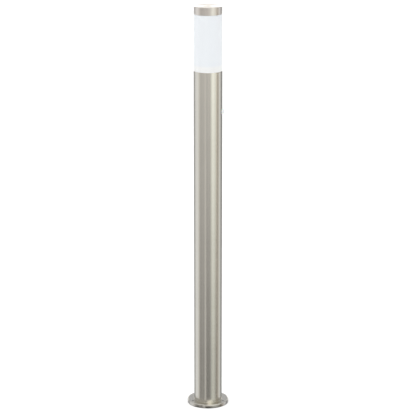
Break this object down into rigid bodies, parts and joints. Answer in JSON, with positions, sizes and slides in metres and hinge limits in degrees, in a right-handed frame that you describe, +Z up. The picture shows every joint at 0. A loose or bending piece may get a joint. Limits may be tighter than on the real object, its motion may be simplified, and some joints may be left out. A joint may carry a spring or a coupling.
{
  "type": "bollard light",
  "caption": "Garden post light: a brushed metal tube on a round foot flange, an opal cylinder head under a flat cap, and a domed motion sensor eye in its side.",
  "frame": {"origin": "on the post's axis, where the foot gasket meets the ground", "axes": "+Z up the post, +X towards the side the motion sensor looks to, -Y the front"},
  "size_m": [0.112, 0.112, 1.1],
  "materials": {
    "pole_stainless": "brushed round the tube, satin",
    "flange_stainless": "turned and polished",
    "cap_stainless": "brushed, satin",
    "foot_rubber": "moulded EPDM",
    "inlet_rubber": "moulded, soft",
    "zinc_steel": "zinc plated sheet",
    "bracket_zinc": "zinc plated sheet",
    "screw_zinc": "bright zinc",
    "spring_steel": "tempered strip",
    "porcelain": "glazed white",
    "brass": "plain turned",
    "nickel_brass": "nickel plated",
    "block_polyamide": "moulded natural",
    "lead_blue": "extruded PVC",
    "lead_brown": "extruded PVC",
    "lead_black": "extruded PVC",
    "lead_earth": "extruded PVC, green with a yellow stripe",
    "cap_insulator": "fired black glass",
    "lamp_white": "moulded white",
    "globe_opal": "moulded opal",
    "led_aluminium": "white solder mask on aluminium",
    "led_yellow": "phosphor under clear resin",
    "circuit_green": "solder mask",
    "collar_white": "moulded ABS",
    "silicone": "moulded silicone",
    "opal_acrylic": "moulded opal, glossy",
    "lens_white": "moulded milky polyethylene",
    "sensor_black": "moulded ABS",
    "detector_can": "nickel plated can",
    "detector_dark": "coated silicon window",
    "cell_clear": "epoxy over a light cell",
    "relay_blue": "moulded case",
    "capacitor_sleeve": "shrunk sleeve",
    "trimmer_blue": "moulded body",
    "knob_white": "moulded"
  },
  "bodies": {
    "post": {"base_gasket": "foot_rubber", "base_flange": "flange_stainless", "cable_grommet": "inlet_rubber", "pole_tube": "pole_stainless", "support_ledge": "zinc_steel", "lamp_plate": "zinc_steel", "plate_screws": "screw_zinc", "terminal_bracket": "bracket_zinc", "terminal_block": "block_polyamide", "terminal_clamps": "brass", "terminal_screws": "screw_zinc", "block_screws": "screw_zinc", "earth_screw": "screw_zinc", "earth_lug": "brass", "earth_nut": "screw_zinc", "lamp_nipple": "screw_zinc", "nipple_nut": "screw_zinc", "lampholder": "porcelain", "lampholder_shell": "nickel_brass", "centre_contact": "brass", "sensor_lens": "lens_white", "sensor_seal": "silicone", "sensor_housing": "sensor_black", "sensor_lid": "sensor_black", "sensor_spring": "spring_steel", "sensor_board": "circuit_green", "motion_detector": "detector_can", "detector_window": "detector_dark", "light_cell": "cell_clear", "relay": "relay_blue", "smoothing_capacitor": "capacitor_sleeve", "time_trimmer": "trimmer_blue", "dusk_trimmer": "trimmer_blue", "range_trimmer": "trimmer_blue", "neutral_lead": "lead_blue", "switched_lead": "lead_black", "earth_lead": "lead_earth", "sensor_neutral_lead": "lead_blue", "sensor_supply_lead": "lead_brown", "sensor_switched_lead": "lead_black"},
    "head": {"head_collar": "collar_white", "head_seal": "silicone", "diffuser": "opal_acrylic", "top_cap": "cap_stainless", "cap_seal": "silicone", "cap_plate": "collar_white", "cap_studs": "screw_zinc", "cap_washers": "screw_zinc", "cap_nuts": "screw_zinc"},
    "lamp_foot": {"lamp_contact": "nickel_brass"},
    "lamp": {"lamp_insulator": "cap_insulator", "lamp_cap": "nickel_brass", "lamp_housing": "lamp_white", "lamp_globe": "globe_opal", "led_plate": "led_aluminium", "led_chips": "led_yellow", "led_driver": "circuit_green"},
    "time_adjuster": {"time_knob": "knob_white"},
    "dusk_adjuster": {"dusk_knob": "knob_white"},
    "range_adjuster": {"range_knob": "knob_white"}
  },
  "joints": [
    {"name": "head_lift", "type": "slide", "parent": "post", "child": "head", "axis": [0, 0, 1], "range_m": [0, 0.15]},
    {"name": "lamp_rise", "type": "slide", "parent": "post", "child": "lamp_foot", "axis": [0, 0, 1], "range_m": [0, 0.02]},
    {"name": "lamp_turn", "type": "hinge", "parent": "lamp_foot", "child": "lamp", "pos_m": [0, 0, 0.93], "axis": [0, 0, 1], "range_deg": [0, 1980]},
    {"name": "time_turn", "type": "hinge", "parent": "post", "child": "time_adjuster", "pos_m": [0.0185, -0.01, 0.838], "axis": [0, 0, 1], "range_deg": [-135, 135]},
    {"name": "dusk_turn", "type": "hinge", "parent": "post", "child": "dusk_adjuster", "pos_m": [0.0185, 0, 0.838], "axis": [0, 0, 1], "range_deg": [-135, 135]},
    {"name": "range_turn", "type": "hinge", "parent": "post", "child": "range_adjuster", "pos_m": [0.0185, 0.01, 0.838], "axis": [0, 0, 1], "range_deg": [-135, 135]}
  ],
  "couplings": [
    {"joint": "lamp_rise", "follows": "lamp_turn", "m_per_rad": 0.00057757}
  ]
}
